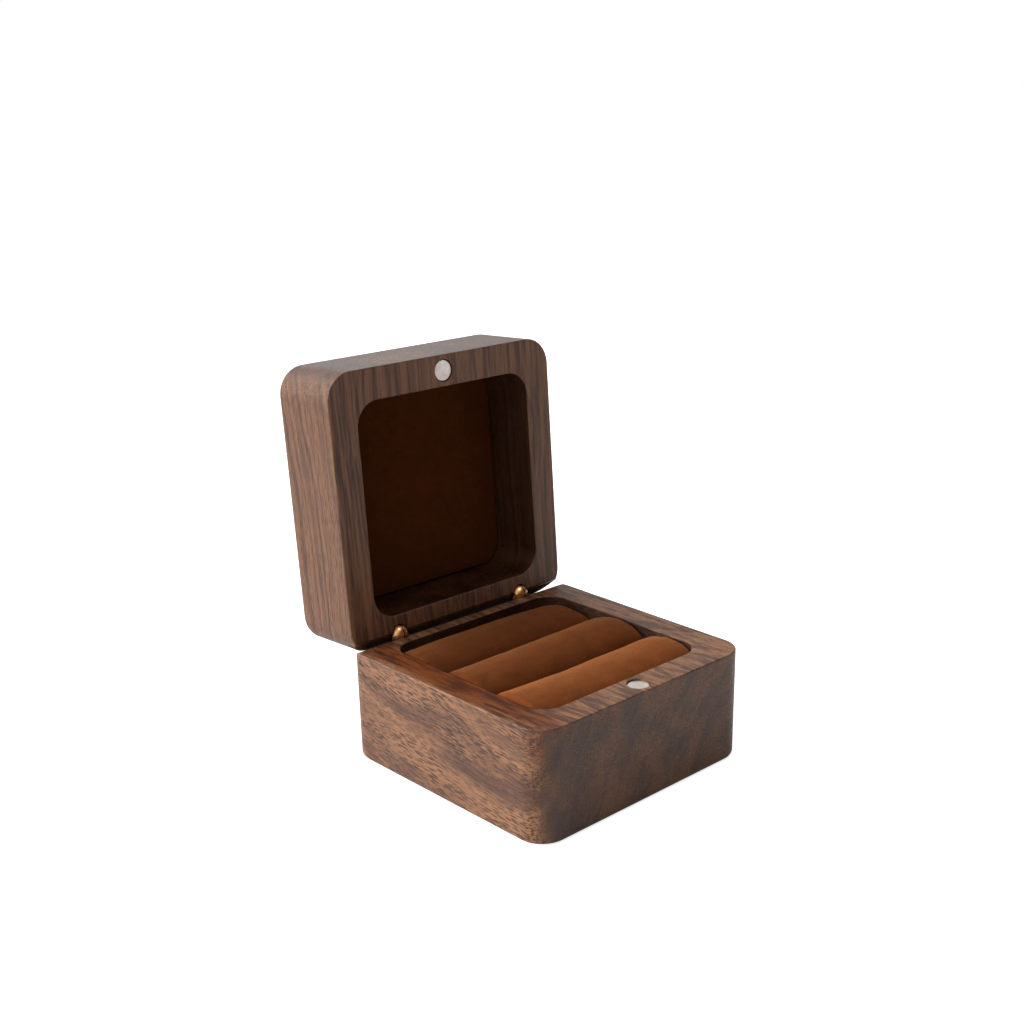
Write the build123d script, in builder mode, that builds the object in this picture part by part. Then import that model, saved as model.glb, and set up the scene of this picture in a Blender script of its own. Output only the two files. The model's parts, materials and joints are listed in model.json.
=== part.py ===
"""Hinged walnut ring box with three suede ring rolls, modelled standing open.

Frame: origin at the centre of the base's resting face, +Z up, the front is -Y,
and the hinge line runs along X. Millimetres throughout.
"""

from build123d import *

import math
import os

# Outer form
BOX_SIDE = 60.0          # length and width of both blocks
BASE_HEIGHT = 24.5
LID_HEIGHT = 18.0
CORNER_RADIUS = 6.0      # upright corners
FOOT_ROUND = 1.2         # edge round under the base
CROWN_ROUND = 1.6        # edge round on the lid's outer face
RIM_BREAK = 0.3          # sanded edge round on both rims

# Milled hollows
RIM_WIDTH = 6.8
POCKET_RADIUS = 5.3
BASE_FLOOR = 6.0
LID_RECESS = 14.0
POCKET_SIDE = BOX_SIDE - 2 * RIM_WIDTH

# Hinge line and rear bevels
OPEN_ANGLE = 93.5        # the lid's bevel meets the base's rear edge here
RIM_GAP = 0.1            # between the rims when the lid is shut
PIVOT_Y = 27.5
PIVOT_RISE = 0.4         # pivot above the base's rim
PIVOT_Z = BASE_HEIGHT + PIVOT_RISE
BASE_BEVEL_RUN = 4.4     # along the rim, from the back face
BASE_BEVEL_DROP = 2.18   # down the back face
LID_BEVEL_RUN = 3.1
LID_BEVEL_RISE = 3.1
BEVEL_EASE = 1.5         # rounding between the base's rim and its bevel
CUT_SPARE = 1.0          # how far a cutting shape reaches past the wood

# Barrel hinges
HINGE_X = 17.5
BARREL_RADIUS = 2.0
BARREL_LENGTH = 9.0      # from the pivot to the blind end
BARREL_BORE = BARREL_RADIUS + 0.15
BORE_SPARE = 0.3
SEAT_DEPTH = BARREL_RADIUS + 0.25
LAP_GAP = 0.12           # each lug stands this far off the middle
LAP_CUT = 6.0            # height and depth of the piece sawn away beside a lug
PIN_RADIUS = 0.6
PIN_LENGTH = 3.4
PIN_TIGHT = 0.005
PIN_RUNNING = 0.04
RIB_GROOVES = 4
RIB_PITCH = 1.3
RIB_WIDTH = 0.5
RIB_DEPTH = 0.15

# Magnets
MAGNET_RADIUS = 2.25
MAGNET_THICKNESS = 2.0
MAGNET_EDGE = 0.15
MAGNET_BORE = MAGNET_RADIUS + 0.15
MAGNET_RECESS = 0.3
MAGNET_Y = -(BOX_SIDE - RIM_WIDTH) / 2

# Ring insert
BOARD_THICKNESS = 1.2
BOARD_GAP = 0.3
ROLL_COUNT = 3
ROLL_PITCH = POCKET_SIDE / ROLL_COUNT
ROLL_GAP = 0.2
ROLL_END_GAP = 0.3
ROLL_FLOOR = BASE_FLOOR + BOARD_THICKNESS
ROLL_TOP = BASE_HEIGHT + 0.8
ROLL_CROWN = 5.0         # height of the domed part
SUEDE_THICKNESS = 0.6

# Lid lining
LINING_GAP = 0.15
LINING_BOARD = 0.8
LINING_SUEDE = 0.4
LINING_BOARD_FACE = LID_RECESS - LINING_BOARD
LINING_SUEDE_FACE = LINING_BOARD_FACE - LINING_SUEDE

# The lid's own frame: X is the hinge line, and Z is the shut lid's up, turned back to open
TURN = math.radians(OPEN_ANGLE)
LID_FRAME = Plane(
    origin=(0, PIVOT_Y, PIVOT_Z),
    x_dir=(1, 0, 0),
    z_dir=(0, math.sin(TURN), math.cos(TURN)),
)
LID_OUTWARD = Axis(LID_FRAME.origin, LID_FRAME.z_dir)
LID_RIM = RIM_GAP - PIVOT_RISE
LID_CENTRE_Y = -PIVOT_Y


def save(builder, name):
    """Label the finished piece and write it to its own file."""
    builder.part.label = name
    export_step(builder.part, f"parts/{name}.step")


def make_base_block():
    """Walnut block with the ring pocket, rear bevel, magnet hole and two barrel bores."""
    back = BOX_SIDE / 2
    with BuildPart() as block:
        with BuildSketch(Plane.XY):
            RectangleRounded(BOX_SIDE, BOX_SIDE, CORNER_RADIUS)
        extrude(amount=BASE_HEIGHT)
        fillet(block.faces().sort_by(Axis.Z)[0].edges(), FOOT_ROUND)
        with BuildSketch(Plane.XY.offset(BASE_HEIGHT)):
            RectangleRounded(POCKET_SIDE, POCKET_SIDE, POCKET_RADIUS)
        extrude(amount=BASE_FLOOR - BASE_HEIGHT, mode=Mode.SUBTRACT)
        with BuildSketch(Plane.YZ):
            with BuildLine():
                Polyline(
                    (back - BASE_BEVEL_RUN, BASE_HEIGHT),
                    (back, BASE_HEIGHT - BASE_BEVEL_DROP),
                    (back + CUT_SPARE, BASE_HEIGHT - BASE_BEVEL_DROP),
                    (back + CUT_SPARE, BASE_HEIGHT + CUT_SPARE),
                    (back - BASE_BEVEL_RUN, BASE_HEIGHT + CUT_SPARE),
                    close=True,
                )
            make_face()
        extrude(amount=BOX_SIDE, both=True, mode=Mode.SUBTRACT)
        rim = block.faces().filter_by(Axis.Z).sort_by(Axis.Z)[-1]
        fillet(rim.edges().filter_by(Axis.X).sort_by(Axis.Y)[-1], BEVEL_EASE)
        rim = block.faces().filter_by(Axis.Z).sort_by(Axis.Z)[-1]
        eased_edge = rim.edges().filter_by(Axis.X).sort_by(Axis.Y)[-1]
        fillet([edge for edge in rim.edges() if edge != eased_edge], RIM_BREAK)
        with BuildSketch(Plane.XY.offset(BASE_HEIGHT)):
            with Locations((0, MAGNET_Y)):
                Circle(MAGNET_BORE)
        extrude(amount=-(MAGNET_RECESS + MAGNET_THICKNESS), mode=Mode.SUBTRACT)
        with BuildSketch(Plane.XY.offset(PIVOT_Z)):
            with Locations((-HINGE_X, PIVOT_Y), (HINGE_X, PIVOT_Y)):
                Circle(BARREL_BORE)
        extrude(amount=-(BARREL_LENGTH + BORE_SPARE), mode=Mode.SUBTRACT)
    return block


def make_lid_block():
    """Walnut lid with its recess, rear bevel, magnet hole and two barrel bores."""
    back = LID_CENTRE_Y + BOX_SIDE / 2
    side_plane = Plane(LID_FRAME.origin, x_dir=LID_FRAME.y_dir, z_dir=LID_FRAME.x_dir)
    with BuildPart() as block:
        with BuildSketch(LID_FRAME.offset(LID_RIM)):
            with Locations((0, LID_CENTRE_Y)):
                RectangleRounded(BOX_SIDE, BOX_SIDE, CORNER_RADIUS)
        extrude(amount=LID_HEIGHT)
        fillet(block.faces().sort_by(LID_OUTWARD)[-1].edges(), CROWN_ROUND)
        with BuildSketch(LID_FRAME.offset(LID_RIM)):
            with Locations((0, LID_CENTRE_Y)):
                RectangleRounded(POCKET_SIDE, POCKET_SIDE, POCKET_RADIUS)
        extrude(amount=LID_RECESS, mode=Mode.SUBTRACT)
        with BuildSketch(side_plane):
            with BuildLine():
                Polyline(
                    (back - LID_BEVEL_RUN, LID_RIM),
                    (back, LID_RIM + LID_BEVEL_RISE),
                    (back + CUT_SPARE, LID_RIM + LID_BEVEL_RISE),
                    (back + CUT_SPARE, LID_RIM - CUT_SPARE),
                    (back - LID_BEVEL_RUN, LID_RIM - CUT_SPARE),
                    close=True,
                )
            make_face()
        extrude(amount=BOX_SIDE, both=True, mode=Mode.SUBTRACT)
        rim = block.faces().filter_by(LID_OUTWARD).sort_by(LID_OUTWARD)[0]
        fillet(rim.edges(), RIM_BREAK)
        with BuildSketch(LID_FRAME.offset(LID_RIM)):
            with Locations((0, LID_CENTRE_Y + MAGNET_Y)):
                Circle(MAGNET_BORE)
        extrude(amount=MAGNET_RECESS + MAGNET_THICKNESS, mode=Mode.SUBTRACT)
        with BuildSketch(LID_FRAME.offset(LID_RIM)):
            with Locations((-HINGE_X, 0), (HINGE_X, 0)):
                Circle(BARREL_BORE)
        extrude(amount=BARREL_LENGTH + BORE_SPARE - LID_RIM, mode=Mode.SUBTRACT)
    return block


def make_barrel(frame, hinge_x, lug_side, pin_play):
    """One brass hinge barrel, with its pivot on the frame's X axis and its shank along -Z.

    Beyond the seat only half of its end is left, as a lug with a domed tip, on
    lug_side of the middle: -1 is left and 1 is right.
    """
    pivot = frame.from_local_coords((hinge_x, 0, 0))
    across = Plane(pivot, x_dir=frame.x_dir, z_dir=-frame.y_dir)
    along = Plane(pivot, x_dir=frame.y_dir, z_dir=frame.x_dir)
    with BuildPart() as barrel:
        with BuildSketch(frame):
            with Locations((hinge_x, 0)):
                Circle(BARREL_RADIUS)
        extrude(amount=-BARREL_LENGTH)
        blind_end = barrel.faces().sort_by(Axis(pivot, frame.z_dir))[0]
        chamfer(blind_end.edges(), RIB_DEPTH)
        with BuildSketch(across):
            with BuildLine():
                CenterArc((0, 0), BARREL_RADIUS, 0, 90)
                Polyline((0, BARREL_RADIUS), (0, 0), (BARREL_RADIUS, 0))
            make_face()
        revolve(axis=Axis(pivot, frame.z_dir))
        for groove in range(1, RIB_GROOVES + 1):
            with BuildSketch(frame.offset(-SEAT_DEPTH - groove * RIB_PITCH)):
                with Locations((hinge_x, 0)):
                    Circle(BARREL_RADIUS + CUT_SPARE)
                    Circle(BARREL_RADIUS - RIB_DEPTH, mode=Mode.SUBTRACT)
            extrude(amount=RIB_WIDTH, mode=Mode.SUBTRACT)
        with BuildSketch(frame.offset(-SEAT_DEPTH)):
            with Locations((hinge_x - lug_side * (BARREL_RADIUS - LAP_GAP), 0)):
                Rectangle(2 * BARREL_RADIUS, LAP_CUT)
        extrude(amount=LAP_CUT, mode=Mode.SUBTRACT)
        with BuildSketch(along):
            Circle(PIN_RADIUS + pin_play)
        extrude(amount=PIN_LENGTH / 2, both=True, mode=Mode.SUBTRACT)
    return barrel


def make_pin(hinge_x):
    """Hidden pivot pin through both lugs of one hinge."""
    with BuildPart() as pin:
        with BuildSketch(Plane.YZ.offset(hinge_x)):
            with Locations((PIVOT_Y, PIVOT_Z)):
                Circle(PIN_RADIUS)
        extrude(amount=PIN_LENGTH / 2, both=True)
    return pin


def make_magnet(frame, y, rim, inward):
    """Disc magnet let into a rim. inward is 1 or -1, the way into the wood along Z."""
    with BuildPart() as magnet:
        with BuildSketch(frame.offset(rim + inward * MAGNET_RECESS)):
            with Locations((0, y)):
                Circle(MAGNET_RADIUS)
        extrude(amount=inward * MAGNET_THICKNESS)
        fillet(magnet.edges(), MAGNET_EDGE)
    return magnet


def make_insert_board():
    """Card floor of the ring insert."""
    side = POCKET_SIDE - 2 * BOARD_GAP
    with BuildPart() as board:
        with BuildSketch(Plane.XY.offset(BASE_FLOOR)):
            RectangleRounded(side, side, POCKET_RADIUS - BOARD_GAP)
        extrude(amount=BOARD_THICKNESS)
    return board


def make_roll(y, shrink):
    """Domed roll along X on the insert board, smaller by shrink at its sides, ends and top."""
    half = (ROLL_PITCH - ROLL_GAP) / 2 - shrink
    crown = ROLL_CROWN - shrink
    spring_line = ROLL_TOP - ROLL_CROWN
    length = POCKET_SIDE - 2 * ROLL_END_GAP - 2 * shrink
    with BuildPart() as roll:
        with BuildSketch(Plane.YZ.offset(-length / 2)):
            with BuildLine():
                EllipticalCenterArc((y, spring_line), half, crown, start_angle=0, arc_size=180)
                Polyline(
                    (y - half, spring_line),
                    (y - half, ROLL_FLOOR),
                    (y + half, ROLL_FLOOR),
                    (y + half, spring_line),
                )
            make_face()
        extrude(amount=length)
        with BuildSketch(Plane.XY.offset(ROLL_FLOOR)):
            RectangleRounded(length, length, POCKET_RADIUS - ROLL_END_GAP - shrink)
        extrude(amount=BASE_HEIGHT, mode=Mode.INTERSECT)
    return roll


def make_roll_cover(y):
    """Suede sleeve: the roll's outer form less the foam core inside it."""
    outside = make_roll(y, 0).part
    core = make_roll(y, SUEDE_THICKNESS).part
    with BuildPart() as cover:
        add(outside)
        add(core, mode=Mode.SUBTRACT)
    return cover


def make_lid_panel(inset, face):
    """Flat panel on the floor of the lid's recess, reaching down to the depth face."""
    side = POCKET_SIDE - 2 * inset
    with BuildPart() as panel:
        with BuildSketch(LID_FRAME.offset(LID_RIM + LID_RECESS)):
            with Locations((0, LID_CENTRE_Y)):
                RectangleRounded(side, side, POCKET_RADIUS - inset)
        extrude(amount=face - LID_RECESS)
    return panel


def make_lining_suede():
    """Suede facing of the lid panel, turned round the board's edge."""
    outside = make_lid_panel(LINING_GAP, LINING_SUEDE_FACE).part
    board = make_lid_panel(LINING_GAP + LINING_SUEDE, LINING_BOARD_FACE).part
    with BuildPart() as suede:
        add(outside)
        add(board, mode=Mode.SUBTRACT)
    return suede


os.makedirs("parts", exist_ok=True)

save(make_base_block(), "base_block")
save(make_magnet(Plane.XY, MAGNET_Y, BASE_HEIGHT, -1), "base_magnet")
save(make_insert_board(), "insert_board")
for place, name in zip((-1, 0, 1), ("front", "middle", "rear")):
    save(make_roll(place * ROLL_PITCH, SUEDE_THICKNESS), f"roll_core_{name}")
    save(make_roll_cover(place * ROLL_PITCH), f"roll_cover_{name}")

save(make_lid_block(), "lid_block")
save(make_magnet(LID_FRAME, LID_CENTRE_Y + MAGNET_Y, LID_RIM, 1), "lid_magnet")
save(make_lid_panel(LINING_GAP + LINING_SUEDE, LINING_BOARD_FACE), "lid_lining_board")
save(make_lining_suede(), "lid_lining_suede")

base_barrel_frame = Plane(LID_FRAME.origin)
lid_barrel_frame = Plane(LID_FRAME.origin, x_dir=LID_FRAME.x_dir, z_dir=-LID_FRAME.z_dir)
for side, hinge_x in (("left", -HINGE_X), ("right", HINGE_X)):
    save(make_barrel(base_barrel_frame, hinge_x, -1, PIN_TIGHT), f"hinge_{side}_base_barrel")
    save(make_barrel(lid_barrel_frame, hinge_x, 1, PIN_RUNNING), f"hinge_{side}_lid_barrel")
    save(make_pin(hinge_x), f"hinge_{side}_pin")
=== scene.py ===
import json
import math

import bmesh
import bpy
from mathutils import Matrix, Vector, noise


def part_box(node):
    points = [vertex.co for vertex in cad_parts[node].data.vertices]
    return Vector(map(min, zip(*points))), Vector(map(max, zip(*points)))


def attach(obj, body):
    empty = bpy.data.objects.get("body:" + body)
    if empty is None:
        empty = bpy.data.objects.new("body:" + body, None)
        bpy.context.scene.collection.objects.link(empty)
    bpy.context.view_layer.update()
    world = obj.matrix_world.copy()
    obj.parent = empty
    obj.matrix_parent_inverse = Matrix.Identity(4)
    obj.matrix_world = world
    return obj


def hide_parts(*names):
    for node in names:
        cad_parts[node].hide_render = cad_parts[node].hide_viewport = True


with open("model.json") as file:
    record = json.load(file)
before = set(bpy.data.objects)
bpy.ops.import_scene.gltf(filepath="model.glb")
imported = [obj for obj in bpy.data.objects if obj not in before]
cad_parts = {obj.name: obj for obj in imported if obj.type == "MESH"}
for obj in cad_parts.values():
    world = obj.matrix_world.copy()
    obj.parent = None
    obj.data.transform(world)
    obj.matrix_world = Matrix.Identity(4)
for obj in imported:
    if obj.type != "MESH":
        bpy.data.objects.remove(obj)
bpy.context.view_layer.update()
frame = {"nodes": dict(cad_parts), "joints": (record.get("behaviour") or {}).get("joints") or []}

MM = 0.001

# ---------------------------------------------------------------------------
# Base block. One piece of black walnut, milled out for the ring insert, its
# grain running from hinge to front, sanded and finished with satin oil. The
# front face is end grain; the left and right faces show long open pores.
# ---------------------------------------------------------------------------


def put(tree, kind, wires=None, **settings):
    """Add a shader node. wires maps an input to a value or to another node's output."""
    node = tree.nodes.new(kind)
    for key, value in settings.items():
        setattr(node, key, value)
    for key, value in (wires or {}).items():
        socket = node.inputs[key]
        if isinstance(value, bpy.types.NodeSocket):
            tree.links.new(value, socket)
        else:
            socket.default_value = value
    return node


def calc(tree, operation, *values, clamp=False):
    """One Math node's output."""
    wires = dict(enumerate(values))
    return put(tree, "ShaderNodeMath", wires, operation=operation, use_clamp=clamp).outputs[0]


def vector_calc(tree, operation, *values):
    """One Vector Math node's vector output."""
    return put(tree, "ShaderNodeVectorMath", dict(enumerate(values)), operation=operation).outputs[0]


def blend_colour(tree, amount, under, over, mode="MIX"):
    """Mix two colours by a factor."""
    mix = put(tree, "ShaderNodeMix", {0: amount, 6: under, 7: over}, data_type="RGBA", blend_type=mode)
    return mix.outputs[2]


def ease(tree, value, low, high, new_low=0.0, new_high=1.0):
    """Smooth step of a value from one range to another."""
    step = put(
        tree,
        "ShaderNodeMapRange",
        {"Value": value, "From Min": low, "From Max": high, "To Min": new_low, "To Max": new_high},
        interpolation_type="SMOOTHSTEP",
    )
    return step.outputs["Result"]


def mottle(tree, place, scale, detail=2.0, roughness=0.5, distortion=0.0):
    """Noise value at a place, centred on one half."""
    wires = {"Vector": place, "Scale": scale, "Detail": detail}
    wires.update({"Roughness": roughness, "Distortion": distortion})
    return put(tree, "ShaderNodeTexNoise", wires).outputs["Fac"]


def new_effect(name, inputs, outputs):
    """Start a shader node group with named inputs (name, type, value) and outputs (name, type)."""
    tree = bpy.data.node_groups.new(name, "ShaderNodeTree")
    for label, kind, value in inputs:
        socket = tree.interface.new_socket(name=label, in_out="INPUT", socket_type=kind)
        socket.default_value = value
    for label, kind in outputs:
        tree.interface.new_socket(name=label, in_out="OUTPUT", socket_type=kind)
    return tree, tree.nodes.new("NodeGroupInput").outputs, tree.nodes.new("NodeGroupOutput")


def use_effect(tree, effect, wires):
    """Place a shader node group in a material."""
    node = tree.nodes.new("ShaderNodeGroup")
    node.node_tree = effect
    for key, value in wires.items():
        if isinstance(value, bpy.types.NodeSocket):
            tree.links.new(value, node.inputs[key])
        else:
            node.inputs[key].default_value = value
    return node.outputs


HEART_TINT = (0.68, 0.36, 0.08, 1)
PORE_DARK = (0.018, 0.006, 0.003, 1)
# Tint of the painted shade on the walls of the hollow.
HOLLOW_SHADE_TINT = (0.4, 0.32, 0.25, 1)
HOLLOW_REACH = 23.3
BEVEL_START = 27.5
SEAM_HEIGHT = 24.5
SEAM_REACH = 3.5
WOOD_RELIEF = 0.05 * MM


def make_walnut_effect():
    """Walnut as a solid: growth bands, streaks, open pores, a warm heart streak, and end grain.

    Spot is a place in the shut box and Cut is where in the plank the block was cut, in millimetres.
    """
    tree, given, result = new_effect(
        "walnut",
        [
            ("Spot", "NodeSocketVector", (0, 0, 0)),
            ("Cut", "NodeSocketVector", (0, 0, 0)),
            ("Facing", "NodeSocketVector", (0, 0, 1)),
            ("Fibre tilt", "NodeSocketFloat", 0.0),
            ("Pith", "NodeSocketVector", (75, 0, 0)),
            ("Bands per mm", "NodeSocketFloat", 0.5),
            ("Band strength", "NodeSocketFloat", 1.0),
            ("Band wander", "NodeSocketFloat", 5.0),
            ("Cloudiness", "NodeSocketFloat", 1.0),
            ("Rim lines and shade", "NodeSocketFloat", 1.0),
            ("Pore strength", "NodeSocketFloat", 1.0),
            ("Heart streak", "NodeSocketVector", (-25, 0, 25)),
            ("Heart strength", "NodeSocketFloat", 0.5),
            ("Light wood", "NodeSocketColor", (0.2, 0.1, 0.05, 1)),
            ("Dark wood", "NodeSocketColor", (0.05, 0.02, 0.01, 1)),
        ],
        [("Color", "NodeSocketColor"), ("Roughness", "NodeSocketFloat"), ("Height", "NodeSocketFloat")],
    )

    def tipped(place, angle):
        wires = {"Vector": place, "Angle": angle}
        return put(tree, "ShaderNodeVectorRotate", wires, rotation_type="X_AXIS").outputs[0]

    def stretched(place, across, along):
        return vector_calc(tree, "MULTIPLY", place, (across, along, across))

    # The fibres fall towards the front, and wander a little.
    fibres = tipped(vector_calc(tree, "ADD", given["Spot"], given["Cut"]), given["Fibre tilt"])
    slow = {"Vector": stretched(fibres, 0.05, 0.02), "Scale": 1.0}
    sway = put(tree, "ShaderNodeTexNoise", slow).outputs["Color"]
    sway = vector_calc(tree, "SUBTRACT", sway, (0.5, 0.5, 0.5))
    fibres = vector_calc(tree, "MULTIPLY_ADD", sway, (4.0, 0.0, 4.0), fibres)
    # Growth bands are cylinders round a distant pith, tipped twice as far as the fibres.
    ring_space = tipped(fibres, given["Fibre tilt"])
    from_pith = vector_calc(tree, "SUBTRACT", ring_space, given["Pith"])
    from_pith = vector_calc(tree, "MULTIPLY", from_pith, (1, 0, 1))
    radius = put(tree, "ShaderNodeVectorMath", {0: from_pith}, operation="LENGTH").outputs["Value"]
    surge = mottle(tree, stretched(ring_space, 0.07, 0.03), 1.0, 2.0)
    radius = calc(tree, "MULTIPLY_ADD", surge, given["Band wander"], radius)
    bands = put(
        tree,
        "ShaderNodeTexNoise",
        {"W": radius, "Scale": given["Bands per mm"], "Detail": 3.0, "Roughness": 0.6},
        noise_dimensions="1D",
    ).outputs["Fac"]
    streaks = mottle(tree, stretched(fibres, 1.9, 0.05), 1.0, 3.0, 0.6)
    hairs = mottle(tree, stretched(fibres, 5.0, 0.1), 1.0, 2.0, 0.6)
    sides = put(tree, "ShaderNodeSeparateXYZ", {"Vector": given["Facing"]}).outputs
    level = ease(tree, calc(tree, "ABSOLUTE", sides["Z"]), 0.6, 0.95)
    clouds = mottle(tree, stretched(fibres, 0.13, 0.05), 1.0, 2.0)
    banding = calc(tree, "MULTIPLY", calc(tree, "SUBTRACT", bands, 0.5), given["Band strength"])
    tone = calc(tree, "MULTIPLY_ADD", banding, 1.6, 0.58)
    tone = calc(tree, "MULTIPLY_ADD", calc(tree, "SUBTRACT", streaks, 0.5), 1.1, tone)
    tone = calc(tree, "MULTIPLY_ADD", calc(tree, "SUBTRACT", hairs, 0.5), 0.6, tone)
    # Grain lines on level faces; their bias also draws the level tops a little darker, as painted
    # shade.
    lines = mottle(tree, stretched(fibres, 1.1, 0.03), 1.0, 2.0, 0.6)
    lines = calc(tree, "MULTIPLY", calc(tree, "SUBTRACT", lines, 0.54), level)
    tone = calc(tree, "MULTIPLY_ADD", lines, given["Rim lines and shade"], tone)
    tone = calc(tree, "MULTIPLY_ADD", calc(tree, "SUBTRACT", clouds, 0.5), given["Cloudiness"], tone)
    wood = blend_colour(tree, ease(tree, tone, 0.0, 1.0), given["Dark wood"], given["Light wood"])
    # A warm, clear streak of heartwood runs along the grain.
    off_heart = vector_calc(tree, "SUBTRACT", fibres, given["Heart streak"])
    off_heart = vector_calc(tree, "MULTIPLY", off_heart, (0.25, 0, 0.2))
    off_heart = put(tree, "ShaderNodeVectorMath", {0: off_heart}, operation="LENGTH").outputs["Value"]
    off_heart = calc(tree, "MULTIPLY_ADD", calc(tree, "SUBTRACT", streaks, 0.5), 1.2, off_heart)
    heart = calc(tree, "MULTIPLY", ease(tree, off_heart, 1.25, 0.5), given["Heart strength"])
    wood = blend_colour(tree, heart, wood, HEART_TINT, "MULTIPLY")

    def pores(across, along, size, kept):
        wires = {"Vector": stretched(fibres, across, along), "Scale": 1.0}
        cells = put(tree, "ShaderNodeTexVoronoi", wires).outputs
        shape = ease(tree, cells["Distance"], size, size * 0.72)
        chance = put(tree, "ShaderNodeSeparateColor", {"Color": cells["Color"]}).outputs["Red"]
        return calc(tree, "MULTIPLY", shape, ease(tree, chance, kept + 0.08, kept - 0.08))

    # Pores are fine dashes along the fibres, in two sizes, crowded in the pale bands.
    large_pores = pores(2.9, 0.4, 0.56, 0.64)
    small_pores = calc(tree, "MULTIPLY", pores(4.2, 0.58, 0.52, 0.58), 0.8)
    pore = calc(tree, "MAXIMUM", large_pores, small_pores)
    crowd = ease(tree, clouds, 0.3, 0.6, 0.55, 1.0)
    pore = calc(tree, "MULTIPLY", calc(tree, "MULTIPLY", pore, crowd), given["Pore strength"])
    pore = calc(tree, "MULTIPLY", pore, calc(tree, "MULTIPLY_ADD", level, -0.65, 1.0))
    pore_colour = blend_colour(tree, 0.25, PORE_DARK, given["Dark wood"])
    pored = blend_colour(tree, calc(tree, "MULTIPLY", pore, 0.85, clamp=True), wood, pore_colour)
    # End grain drinks more oil, so it is dark and greyish, with faint bands and specks.
    end_tone = calc(tree, "MULTIPLY_ADD", calc(tree, "SUBTRACT", clouds, 0.5), 2.4, 0.5)
    end_tone = calc(tree, "MULTIPLY_ADD", banding, 0.7, end_tone)
    end_tone = calc(tree, "MULTIPLY_ADD", calc(tree, "SUBTRACT", streaks, 0.5), 0.35, end_tone)
    dusky = blend_colour(tree, 1.0, given["Dark wood"], (0.8, 1.0, 1.3, 1), "MULTIPLY")
    warmer = blend_colour(tree, 0.42, given["Dark wood"], given["Light wood"])
    end_wood = blend_colour(tree, ease(tree, end_tone, 0.0, 1.0), dusky, warmer)
    end_wood = blend_colour(tree, calc(tree, "MULTIPLY", pore, 0.2), end_wood, pore_colour)
    end = ease(tree, calc(tree, "ABSOLUTE", sides["Y"]), 0.55, 0.95)
    finished = blend_colour(tree, end, pored, end_wood)
    # The upright walls of the hollow are drawn darker: painted shade, where little light reaches them.
    spot = put(tree, "ShaderNodeSeparateXYZ", {"Vector": given["Spot"]}).outputs
    reach = calc(tree, "MAXIMUM", calc(tree, "ABSOLUTE", spot["X"]), calc(tree, "ABSOLUTE", spot["Y"]))
    inside = ease(tree, reach, HOLLOW_REACH + 0.05, HOLLOW_REACH - 0.05)
    upright = ease(tree, calc(tree, "ABSOLUTE", sides["Z"]), 0.7, 0.4)
    painted_wall_shade = calc(tree, "MULTIPLY", inside, upright)
    finished = blend_colour(tree, painted_wall_shade, finished, HOLLOW_SHADE_TINT, "MULTIPLY")
    tree.links.new(finished, result.inputs["Color"])
    satin = ease(tree, streaks, 0.25, 0.75, 0.4, 0.5)
    satin = calc(tree, "MULTIPLY_ADD", pore, 0.25, satin)
    satin = calc(tree, "MULTIPLY_ADD", end, -0.16, satin)
    # The bevelled rear edges, either side of the seam, are left unoiled and matt.
    past_seam = calc(tree, "ABSOLUTE", calc(tree, "SUBTRACT", spot["Z"], SEAM_HEIGHT))
    near_seam = ease(tree, past_seam, SEAM_REACH + 0.5, SEAM_REACH - 0.5)
    at_rear = ease(tree, spot["Y"], BEVEL_START - 0.5, BEVEL_START + 0.5)
    matt = calc(tree, "MULTIPLY", at_rear, near_seam)
    tree.links.new(calc(tree, "MAXIMUM", satin, matt), result.inputs["Roughness"])
    relief = calc(tree, "MULTIPLY_ADD", hairs, 0.2, calc(tree, "MULTIPLY", pore, -1.0))
    relief = calc(tree, "MULTIPLY", relief, calc(tree, "MULTIPLY_ADD", end, -0.6, 1.0))
    tree.links.new(relief, result.inputs["Height"])
    return tree


walnut_effect = make_walnut_effect()


def start_material(name):
    """A new material with its shader, ready to wire."""
    material = bpy.data.materials.new(name)
    material.use_nodes = True
    tree = material.node_tree
    shader = tree.nodes["Principled BSDF"]
    return material, tree, shader


def finish_surface(tree, shader, colour, roughness, height, depth):
    """Wire colour, roughness and a bump of a given depth into the shader."""
    tree.links.new(colour, shader.inputs["Base Color"])
    tree.links.new(roughness, shader.inputs["Roughness"])
    bump = put(tree, "ShaderNodeBump", {"Height": height, "Distance": depth, "Strength": 1.0})
    tree.links.new(bump.outputs["Normal"], shader.inputs["Normal"])


def make_walnut(name, turn_back, cut, figure):
    """Walnut material. turn_back is how far the block stands turned about the hinge line."""
    material, tree, shader = start_material(name)
    here = put(tree, "ShaderNodeTexCoord").outputs

    def turned(way, centre):
        wires = {"Vector": way, "Center": centre, "Angle": turn_back}
        return put(tree, "ShaderNodeVectorRotate", wires, rotation_type="X_AXIS").outputs[0]

    spot = turned(here["Object"], frame["joints"][0]["pos_m"])
    spot = vector_calc(tree, "MULTIPLY", spot, (1 / MM, 1 / MM, 1 / MM))
    facing = turned(here["Normal"], (0, 0, 0))
    wood = use_effect(tree, walnut_effect, {"Spot": spot, "Cut": cut, "Facing": facing, **figure})
    finish_surface(tree, shader, wood["Color"], wood["Roughness"], wood["Height"], WOOD_RELIEF)
    shader.inputs["IOR"].default_value = 1.45
    return material


def dress(node, material):
    """Give a CAD node its material."""
    mesh = frame["nodes"][node].data
    mesh.materials.clear()
    mesh.materials.append(material)


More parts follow.
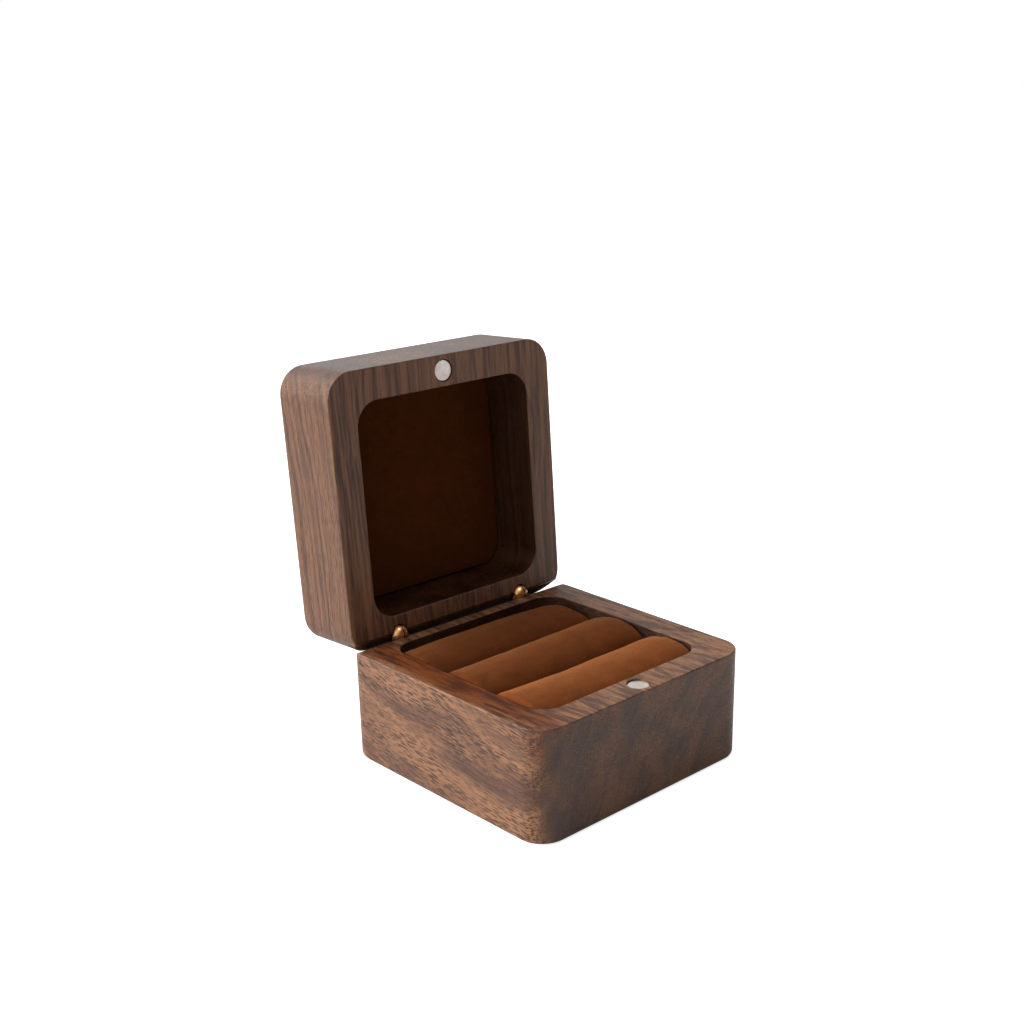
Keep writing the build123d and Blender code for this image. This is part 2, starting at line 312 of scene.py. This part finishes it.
BASE_CUT = (0, 0, 0)
BASE_FIGURE = {
    "Fibre tilt": math.radians(-7),
    "Pith": (75, 0, -25),
    "Bands per mm": 0.45,
    "Band strength": 1.15,
    "Band wander": 8.0,
    "Cloudiness": 1.2,
    "Rim lines and shade": 3.0,
    "Pore strength": 1.0,
    "Heart streak": (-25.5, 0, 25),
    "Heart strength": 1.0,
    "Light wood": (0.225, 0.1, 0.043, 1),
    "Dark wood": (0.07, 0.025, 0.012, 1),
}
dress("base_block", make_walnut("walnut_base", 0.0, BASE_CUT, BASE_FIGURE))

# ---------------------------------------------------------------------------
# Insert board. Plain grey-brown card on the floor of the pocket, hidden under
# the rolls, which are glued to it.
# ---------------------------------------------------------------------------


def make_card():
    """Grey-brown card with short flecks."""
    material, tree, shader = start_material("card")
    here = vector_calc(tree, "SCALE", put(tree, "ShaderNodeTexCoord").outputs["Object"])
    here.node.inputs["Scale"].default_value = 1 / MM
    flecks = mottle(tree, vector_calc(tree, "MULTIPLY", here, (1.5, 4.0, 4.0)), 1.0, 3.0)
    fleck = ease(tree, flecks, 0.35, 0.65)
    colour = blend_colour(tree, fleck, (0.24, 0.18, 0.12, 1), (0.38, 0.3, 0.21, 1))
    finish_surface(tree, shader, colour, ease(tree, flecks, 0.3, 0.7, 0.8, 0.95), flecks, 0.03 * MM)
    return material


card = make_card()
dress("insert_board", card)

# ---------------------------------------------------------------------------
# Ring rolls. Three soft foam rolls side by side, each wrapped in saddle-brown
# suede, with rounded ends; rings stand in the slots between them.
# ---------------------------------------------------------------------------


def make_foam():
    """Open-cell foam, all small round cells."""
    material, tree, shader = start_material("foam")
    here = put(tree, "ShaderNodeTexCoord").outputs["Object"]
    here = vector_calc(tree, "MULTIPLY", here, (1600, 1600, 1600))
    cells = put(tree, "ShaderNodeTexVoronoi", {"Vector": here, "Scale": 1.0}).outputs["Distance"]
    colour = blend_colour(tree, cells, (0.5, 0.45, 0.36, 1), (0.8, 0.77, 0.68, 1))
    finish_surface(tree, shader, colour, ease(tree, cells, 0.0, 1.0, 0.85, 0.98), cells, 0.2 * MM)
    return material


foam = make_foam()


def make_suede_effect():
    """Short-napped suede: brushed patches, soft creases of tone and a fine fuzz."""
    tree, given, result = new_effect(
        "suede",
        [
            ("Place", "NodeSocketVector", (0, 0, 0)),
            ("Mottling", "NodeSocketFloat", 1.0),
            ("Nap colour", "NodeSocketColor", (0.3, 0.1, 0.03, 1)),
            ("Deep colour", "NodeSocketColor", (0.1, 0.03, 0.01, 1)),
        ],
        [("Color", "NodeSocketColor"), ("Roughness", "NodeSocketFloat"), ("Height", "NodeSocketFloat")],
    )
    brushed = vector_calc(tree, "MULTIPLY", given["Place"], (0.22, 0.35, 0.35))
    brushed = mottle(tree, brushed, 1.0, 3.0, 0.6, 0.6)
    nap = mottle(tree, vector_calc(tree, "MULTIPLY", given["Place"], (1.6, 2.6, 2.6)), 1.0, 3.0, 0.65)
    fuzz = mottle(tree, given["Place"], 9.0, 2.0, 0.7)
    tone = calc(tree, "MULTIPLY_ADD", calc(tree, "SUBTRACT", brushed, 0.5), 1.1, 0.5)
    tone = calc(tree, "MULTIPLY_ADD", calc(tree, "SUBTRACT", nap, 0.5), 0.7, tone)
    tone = calc(tree, "MULTIPLY_ADD", calc(tree, "SUBTRACT", fuzz, 0.5), 0.8, tone)
    tone = calc(tree, "MULTIPLY_ADD", calc(tree, "SUBTRACT", tone, 0.5), given["Mottling"], 0.5)
    colour = blend_colour(tree, ease(tree, tone, 0.1, 0.9), given["Deep colour"], given["Nap colour"])
    tree.links.new(colour, result.inputs["Color"])
    tree.links.new(ease(tree, fuzz, 0.2, 0.8, 0.82, 0.97), result.inputs["Roughness"])
    height = calc(tree, "MULTIPLY_ADD", nap, 0.7, fuzz)
    tree.links.new(height, result.inputs["Height"])
    return tree


suede_effect = make_suede_effect()


def make_suede(name, nap_colour, deep_colour, mottling, sheen_tint, sheen_weight):
    """Suede material with a soft sheen where the nap turns away."""
    material, tree, shader = start_material(name)
    here = put(tree, "ShaderNodeTexCoord").outputs["Object"]
    here = vector_calc(tree, "MULTIPLY", here, (1 / MM, 1 / MM, 1 / MM))
    suede = use_effect(
        tree,
        suede_effect,
        {"Place": here, "Nap colour": nap_colour, "Deep colour": deep_colour, "Mottling": mottling},
    )
    finish_surface(tree, shader, suede["Color"], suede["Roughness"], suede["Height"], 0.05 * MM)
    shader.inputs["Sheen Weight"].default_value = sheen_weight
    shader.inputs["Sheen Roughness"].default_value = 0.45
    shader.inputs["Sheen Tint"].default_value = sheen_tint
    shader.inputs["Specular IOR Level"].default_value = 0.05
    return material


SUEDE_NAP = Vector((0.215, 0.057, 0.013))
SUEDE_DEEP = Vector((0.13, 0.032, 0.008))
# Each roll's suede is drawn darker the further back it stands: painted shade cast by the lid.
ROLL_PAINTED_SHADE = {"front": 0.81, "middle": 0.57, "rear": 0.49}
ROLL_CROWN = 5.0 * MM
ROLL_EDGE = 0.9 * MM
ROLL_CORNER = 5.0 * MM
ROLL_SQUARENESS = 0.25
ROLL_PUCKER = 0.22
ROLL_HOLLOW = 0.1
ROLL_RIPPLE = 0.035
ROLL_ROUND_STEPS = 112
ROLL_LENGTH_STEPS = 140
ROLL_CAP_RINGS = 14
LEFT_SLOPE = (1.5 * MM, 0.2 * MM)
RIGHT_SLOPE = (7.0 * MM, 2.0 * MM)
ROLL_LIFTS = {"front": (0.5, -0.3, 0.3), "middle": (-0.1, 0.1, 0.5), "rear": (-0.5, -0.2, -1.2)}


def slope_down(from_end, slope):
    """How far the top of a roll has dropped at a distance from its end."""
    reach, drop = slope
    share = max(0.0, 1 - from_end / reach)
    return drop * (1 - math.sqrt(max(0.0, 1 - share**2)))


def make_roll(name, node, lifts, seed, suede):
    """One suede roll in the space of its CAD solid: domed, soft at its ends, slightly uneven."""
    low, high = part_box(node)
    insert_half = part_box("roll_cover_middle")[1].x
    half = (high.y - low.y) / 2
    centre = (high.y + low.y) / 2
    length = high.x - low.x
    spring = high.z - ROLL_CROWN
    shape = bmesh.new()
    rings = []

    def crown_at(x):
        """Height of the dome above its springing at x."""
        share = 2 * x / length
        left, middle, right = lifts
        lift = middle + (right - left) / 2 * share + ((right + left) / 2 - middle) * share**2
        wave = 0.12 * noise.noise(Vector((x / MM * 0.12, seed, 0.0)))
        sides = slope_down(length / 2 + x, LEFT_SLOPE) + slope_down(length / 2 - x, RIGHT_SLOPE)
        return ROLL_CROWN + (lift + wave) * MM - sides

    def section(x, inset):
        """Points (y, z) round the roll at x, drawn in by inset."""
        reach = half - inset
        crown = crown_at(x) - inset
        points = []
        for step in range(ROLL_ROUND_STEPS):
            turn = 2 * math.pi * step / ROLL_ROUND_STEPS
            c, s = math.cos(turn), math.sin(turn)
            if s >= 0:
                y, z = centre + reach * c, spring + crown * s
            else:
                y = centre + reach * math.copysign(abs(c) ** ROLL_SQUARENESS, c)
                z = spring - (spring - low.z - inset) * abs(s) ** ROLL_SQUARENESS
            past = abs(x) - (insert_half - ROLL_CORNER)
            if past > 0:
                wall = insert_half - ROLL_CORNER + math.sqrt(max(0.0, ROLL_CORNER**2 - past**2)) - inset
                y = math.copysign(min(abs(y), wall), y)
            points.append((y, z))
        return points

    def add_ring(x, inset, shrink=1.0):
        ring = []
        for y, z in section(x, inset):
            middle_z = (low.z + spring) / 2
            drawn_y = centre + (y - centre) * shrink
            drawn_z = middle_z + (z - middle_z) * shrink
            ring.append(shape.verts.new((x, drawn_y, drawn_z)))
        rings.append(ring)

    for number in range(1, ROLL_CAP_RINGS):
        add_ring(-length / 2, ROLL_EDGE, number / ROLL_CAP_RINGS)
    for step in range(ROLL_LENGTH_STEPS + 1):
        share = step / ROLL_LENGTH_STEPS
        x = -length / 2 * math.cos(math.pi * share)
        from_end = length / 2 - abs(x)
        inset = 0.0
        if from_end < ROLL_EDGE:
            inset = ROLL_EDGE - math.sqrt(ROLL_EDGE**2 - (ROLL_EDGE - from_end) ** 2)
        add_ring(x, inset)
    for number in reversed(range(1, ROLL_CAP_RINGS)):
        add_ring(length / 2, ROLL_EDGE, number / ROLL_CAP_RINGS)
    for near, far in zip(rings, rings[1:]):
        for step in range(ROLL_ROUND_STEPS):
            after = (step + 1) % ROLL_ROUND_STEPS
            shape.faces.new((near[step], near[after], far[after], far[step]))
    shape.faces.new(list(reversed(rings[0])))
    shape.faces.new(rings[-1])
    # Soft foam under suede gives slow hollows, and small puckers where the ends are tucked in.
    shape.normal_update()
    for vert in shape.verts:
        if vert.co.z < spring:
            continue
        x, y, z = vert.co / MM
        from_end = (length / 2 - abs(vert.co.x)) / MM
        which_end = 5 if x > 0 else 0
        tuck = noise.noise(Vector((y * 0.8, seed + which_end, z * 0.4)))
        tuck *= ROLL_PUCKER * math.exp(-from_end / 2.5)
        slow = ROLL_HOLLOW * noise.noise(Vector((x * 0.1, y * 0.2, seed + 2)))
        small = ROLL_RIPPLE * noise.noise(Vector((x * 0.35, y * 0.35, seed + 7)))
        vert.co.z += (tuck + slow + small) * MM * vert.normal.z
    bmesh.ops.recalc_face_normals(shape, faces=shape.faces)
    mesh = bpy.data.meshes.new(name)
    shape.to_mesh(mesh)
    shape.free()
    mesh.shade_smooth()
    mesh.materials.append(suede)
    roll = bpy.data.objects.new(name, mesh)
    bpy.context.scene.collection.objects.link(roll)
    return roll


for number, (place, lifts) in enumerate(ROLL_LIFTS.items()):
    # Lit and shaded copies of one suede: colour and sheen are scaled down by the roll's painted shade.
    painted_shade = ROLL_PAINTED_SHADE[place]
    nap = (*SUEDE_NAP * painted_shade, 1)
    deep = (*SUEDE_DEEP * painted_shade, 1)
    suede = make_suede(f"saddle_suede_{place}", nap, deep, 0.8, (1.0, 0.42, 0.16, 1), 0.45 * painted_shade)
    roll = make_roll(f"ring_roll_{place}", f"roll_cover_{place}", lifts, 11.0 * number, suede)
    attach(roll, "base")
    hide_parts(f"roll_cover_{place}", f"roll_core_{place}")
    dress(f"roll_core_{place}", foam)
    dress(f"roll_cover_{place}", suede)

# ---------------------------------------------------------------------------
# Magnets. Nickel-plated discs pressed into a drilled hole in each front rim,
# a hair below the wood; they pull the lid shut.
# ---------------------------------------------------------------------------


def make_nickel():
    """Satin nickel plate with faint scuffs."""
    material, tree, shader = start_material("nickel")
    here = put(tree, "ShaderNodeTexCoord").outputs["Object"]
    here = vector_calc(tree, "MULTIPLY", here, (1 / MM, 1 / MM, 1 / MM))
    cloud = mottle(tree, here, 0.8, 3.0)
    scuffs = mottle(tree, vector_calc(tree, "MULTIPLY", here, (1.0, 9.0, 3.0)), 1.0, 3.0, 0.6)
    colour = blend_colour(tree, ease(tree, cloud, 0.3, 0.7), (0.66, 0.6, 0.54, 1), (0.8, 0.74, 0.69, 1))
    roughness = ease(tree, scuffs, 0.3, 0.7, 0.3, 0.48)
    finish_surface(tree, shader, colour, roughness, scuffs, 0.004 * MM)
    shader.inputs["Metallic"].default_value = 1.0
    return material


nickel = make_nickel()
dress("base_magnet", nickel)
dress("lid_magnet", nickel)

# ---------------------------------------------------------------------------
# Lid block. A thinner piece of the same walnut, milled out inside, with its
# grain also running from hinge to front, so that it stands upright when open.
# ---------------------------------------------------------------------------
OPEN_TURN = math.radians(frame["joints"][0]["range_deg"][1])
LID_CUT = (137, 40, 61)
LID_FIGURE = {
    "Fibre tilt": math.radians(1),
    "Pith": (205, 0, -5),
    "Bands per mm": 0.9,
    "Band strength": 0.85,
    "Band wander": 4.0,
    "Cloudiness": 0.45,
    "Rim lines and shade": 1.6,
    "Pore strength": 0.45,
    "Heart streak": (118, 0, 80),
    "Heart strength": 0.5,
    "Light wood": (0.174, 0.075, 0.035, 1),
    "Dark wood": (0.045, 0.015, 0.006, 1),
}
dress("lid_block", make_walnut("walnut_lid", OPEN_TURN, LID_CUT, LID_FIGURE))

# ---------------------------------------------------------------------------
# Lid lining. A card panel wrapped in very dark brown suede and glued to the
# floor of the lid's recess; the card is hidden.
# ---------------------------------------------------------------------------
dress("lid_lining_board", card)
dark_suede = make_suede(
    "dark_suede",
    nap_colour=(0.075, 0.019, 0.0035, 1),
    deep_colour=(0.045, 0.011, 0.002, 1),
    mottling=0.45,
    sheen_tint=(0.6, 0.2, 0.06, 1),
    sheen_weight=0.02,
)
LINING_STEPS = 64
LINING_ROUND = 0.5 * MM
LINING_CORNER = 5.15 * MM
LINING_ROUND_STEPS = 6


def make_lining():
    """Suede-wrapped panel in the lid's own plane, with softly rolled edges."""
    pivot = Vector(frame["joints"][0]["pos_m"])
    about_pivot = Matrix.Rotation(-OPEN_TURN, 4, "X")
    to_open = Matrix.Translation(pivot) @ about_pivot @ Matrix.Translation(-pivot)
    to_shut = to_open.inverted()
    corners = [to_shut @ vert.co for vert in frame["nodes"]["lid_lining_suede"].data.vertices]
    low = Vector((min(c.x for c in corners), min(c.y for c in corners), min(c.z for c in corners)))
    high = Vector((max(c.x for c in corners), max(c.y for c in corners), max(c.z for c in corners)))
    middle = (low + high) / 2
    shape = bmesh.new()

    def outline(inset):
        """Rounded square, drawn in by inset."""
        points = []
        radius = LINING_CORNER - inset
        reach_x = (high.x - low.x) / 2 - inset - radius
        reach_y = (high.y - low.y) / 2 - inset - radius
        for quarter, (sx, sy) in enumerate(((1, 1), (-1, 1), (-1, -1), (1, -1))):
            for step in range(LINING_STEPS // 4 + 1):
                turn = math.pi / 2 * (quarter + step / (LINING_STEPS // 4))
                points.append(
                    (
                        middle.x + sx * reach_x + radius * math.cos(turn),
                        middle.y + sy * reach_y + radius * math.sin(turn),
                    )
                )
        return points

    rings = []
    rings.append([(x, y, high.z) for x, y in outline(0.0)])
    for step in range(LINING_ROUND_STEPS + 1):
        turn = math.pi / 2 * step / LINING_ROUND_STEPS
        inset = LINING_ROUND * (1 - math.cos(turn))
        z = low.z + LINING_ROUND * (1 - math.sin(turn))
        rings.append([(x, y, z) for x, y in outline(inset)])
    for share in (0.08, 0.2, 0.35, 0.5, 0.65, 0.8, 0.92):
        ring = []
        for x, y in outline(LINING_ROUND):
            inner_x = middle.x + (x - middle.x) * (1 - share)
            inner_y = middle.y + (y - middle.y) * (1 - share)
            ring.append((inner_x, inner_y, low.z))
        rings.append(ring)
    made = []
    for ring in rings:
        made.append([shape.verts.new(to_open @ Vector(point)) for point in ring])
    for near, far in zip(made, made[1:]):
        count = len(near)
        for step in range(count):
            after = (step + 1) % count
            shape.faces.new((near[step], near[after], far[after], far[step]))
    shape.faces.new(made[0])
    shape.faces.new(made[-1])
    bmesh.ops.recalc_face_normals(shape, faces=shape.faces)
    mesh = bpy.data.meshes.new("lid_lining")
    shape.to_mesh(mesh)
    shape.free()
    mesh.shade_smooth()
    mesh.materials.append(dark_suede)
    lining = bpy.data.objects.new("lid_lining", mesh)
    bpy.context.scene.collection.objects.link(lining)
    return lining


lining = make_lining()
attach(lining, "lid")
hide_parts("lid_lining_suede")
dress("lid_lining_suede", dark_suede)

# ---------------------------------------------------------------------------
# Hinges. Two small brass barrel hinges: a ribbed barrel glued in each block,
# lapped at the joint and turning on a hidden steel pin.
# ---------------------------------------------------------------------------


def make_brass():
    """Turned brass, bright in some patches and browned in others."""
    material, tree, shader = start_material("brass")
    here = put(tree, "ShaderNodeTexCoord").outputs["Object"]
    here = vector_calc(tree, "MULTIPLY", here, (1 / MM, 1 / MM, 1 / MM))
    tarnish = mottle(tree, here, 0.9, 3.0, 0.6)
    turning = mottle(tree, vector_calc(tree, "MULTIPLY", here, (2.0, 12.0, 12.0)), 1.0, 2.0)
    browned = ease(tree, tarnish, 0.35, 0.7)
    colour = blend_colour(tree, browned, (1.0, 0.56, 0.25, 1), (0.66, 0.25, 0.09, 1))
    finish_surface(tree, shader, colour, ease(tree, turning, 0.3, 0.7, 0.12, 0.26), turning, 0.01 * MM)
    shader.inputs["Metallic"].default_value = 1.0
    return material


def make_steel():
    """Plain drawn steel wire."""
    material, tree, shader = start_material("drawn_steel")
    here = put(tree, "ShaderNodeTexCoord").outputs["Object"]
    here = vector_calc(tree, "MULTIPLY", here, (500, 9000, 9000))
    lines = mottle(tree, here, 1.0, 2.0)
    colour = blend_colour(tree, lines, (0.4, 0.4, 0.4, 1), (0.6, 0.6, 0.6, 1))
    finish_surface(tree, shader, colour, ease(tree, lines, 0.3, 0.7, 0.25, 0.4), lines, 0.003 * MM)
    shader.inputs["Metallic"].default_value = 1.0
    return material


brass = make_brass()
steel = make_steel()
for side in ("left", "right"):
    dress(f"hinge_{side}_base_barrel", brass)
    dress(f"hinge_{side}_lid_barrel", brass)
    dress(f"hinge_{side}_pin", steel)

# ---------------------------------------------------------------------------
# Studio. A white table under the box, broad soft lights from the left, from
# behind and from overhead, and a white surround that is dim in front.
# ---------------------------------------------------------------------------
TABLE_SIDE = 8.0
TABLE_GLOW = 0.75
KEYS = {"left_light": ((-0.85, 0.4, 0.34), 3.1, 40), "rear_light": ((-0.32, 0.56, 0.77), 1.6, 40)}
OVERHEAD_PLACE = Vector((-0.12, -0.22, 0.75))
OVERHEAD_SIDE = 0.35
OVERHEAD_POWER = 1.0
BRIGHT_SIDE = Vector((-0.45, 0.7, 0.55)).normalized()
VIEW_AZIMUTH = math.radians(-44.8)
VIEW_ELEVATION = math.radians(20.5)
VIEW_ROLL = math.radians(-0.15)
VIEW_AIM = Vector((9.22, -2.07, 34.47)) * MM
VIEW_DISTANCE = 306.6 * MM
VIEW_LENS = 50.98
VIEW_SHIFT = (-0.0702, 0.0806)


def make_paper():
    """Pale paper with the faintest tooth, glowing a little so that it reads as white."""
    material, tree, shader = start_material("paper")
    here = put(tree, "ShaderNodeTexCoord").outputs["Object"]
    tooth = mottle(tree, here, 900.0, 2.0)
    colour = blend_colour(tree, tooth, (0.64, 0.64, 0.64, 1), (0.7, 0.7, 0.7, 1))
    finish_surface(tree, shader, colour, ease(tree, tooth, 0.3, 0.7, 0.85, 0.95), tooth, 0.01 * MM)
    shader.inputs["Specular IOR Level"].default_value = 0.1
    shader.inputs["Emission Color"].default_value = (1, 1, 1, 1)
    seen = put(tree, "ShaderNodeLightPath").outputs["Is Camera Ray"]
    tree.links.new(calc(tree, "MULTIPLY", seen, TABLE_GLOW), shader.inputs["Emission Strength"])
    return material


def make_table():
    """Flat square table top under the box."""
    shape = bmesh.new()
    corners = []
    for x, y in ((-1, -1), (1, -1), (1, 1), (-1, 1)):
        corners.append(shape.verts.new((x * TABLE_SIDE / 2, y * TABLE_SIDE / 2, 0)))
    shape.faces.new(corners)
    mesh = bpy.data.meshes.new("paper_table")
    shape.to_mesh(mesh)
    shape.free()
    mesh.materials.append(make_paper())
    table = bpy.data.objects.new("paper_table", mesh)
    bpy.context.scene.collection.objects.link(table)
    return table


make_table()

overhead_light = bpy.data.lights.new("overhead", "AREA")
overhead_light.shape = "SQUARE"
overhead_light.size = OVERHEAD_SIDE
overhead_light.energy = OVERHEAD_POWER
overhead = bpy.data.objects.new("overhead", overhead_light)
overhead.location = OVERHEAD_PLACE
overhead.rotation_euler = (VIEW_AIM - OVERHEAD_PLACE).to_track_quat("-Z", "Y").to_euler()
bpy.context.scene.collection.objects.link(overhead)
for name, (came_from, strength, spread) in KEYS.items():
    key_light = bpy.data.lights.new(name, "SUN")
    key_light.energy = strength
    key_light.angle = math.radians(spread)
    key = bpy.data.objects.new(name, key_light)
    key.rotation_euler = (-Vector(came_from)).to_track_quat("-Z", "Y").to_euler()
    bpy.context.scene.collection.objects.link(key)


def make_surround():
    """White surround, bright behind and to the left of the box and dim in front of it."""
    world = bpy.data.worlds.new("surround")
    bpy.context.scene.world = world
    world.use_nodes = True
    tree = world.node_tree
    way = put(tree, "ShaderNodeTexCoord").outputs["Generated"]
    wires = {0: way, 1: BRIGHT_SIDE}
    behind = put(tree, "ShaderNodeVectorMath", wires, operation="DOT_PRODUCT").outputs["Value"]
    strength = ease(tree, behind, -0.4, 0.6, 0.1, 0.9)
    backdrop = put(tree, "ShaderNodeLightPath").outputs["Is Camera Ray"]
    strength = calc(tree, "MAXIMUM", strength, backdrop)
    background = tree.nodes["Background"]
    background.inputs["Color"].default_value = (1, 1, 1, 1)
    tree.links.new(strength, background.inputs["Strength"])


make_surround()

camera_data = bpy.data.cameras.new("camera")
camera_data.lens = VIEW_LENS
camera_data.sensor_width = 36.0
camera_data.shift_x, camera_data.shift_y = VIEW_SHIFT
camera_data.clip_start = 0.01
camera = bpy.data.objects.new("camera", camera_data)
backward = Vector(
    (
        math.sin(VIEW_AZIMUTH) * math.cos(VIEW_ELEVATION),
        -math.cos(VIEW_AZIMUTH) * math.cos(VIEW_ELEVATION),
        math.sin(VIEW_ELEVATION),
    )
)
camera.location = VIEW_AIM + backward * VIEW_DISTANCE
turned = (-backward).to_track_quat("-Z", "Y").to_matrix() @ Matrix.Rotation(VIEW_ROLL, 3, "Z")
camera.rotation_euler = turned.to_euler()
bpy.context.scene.collection.objects.link(camera)
bpy.context.scene.camera = camera
bpy.context.scene.view_settings.view_transform = "Standard"
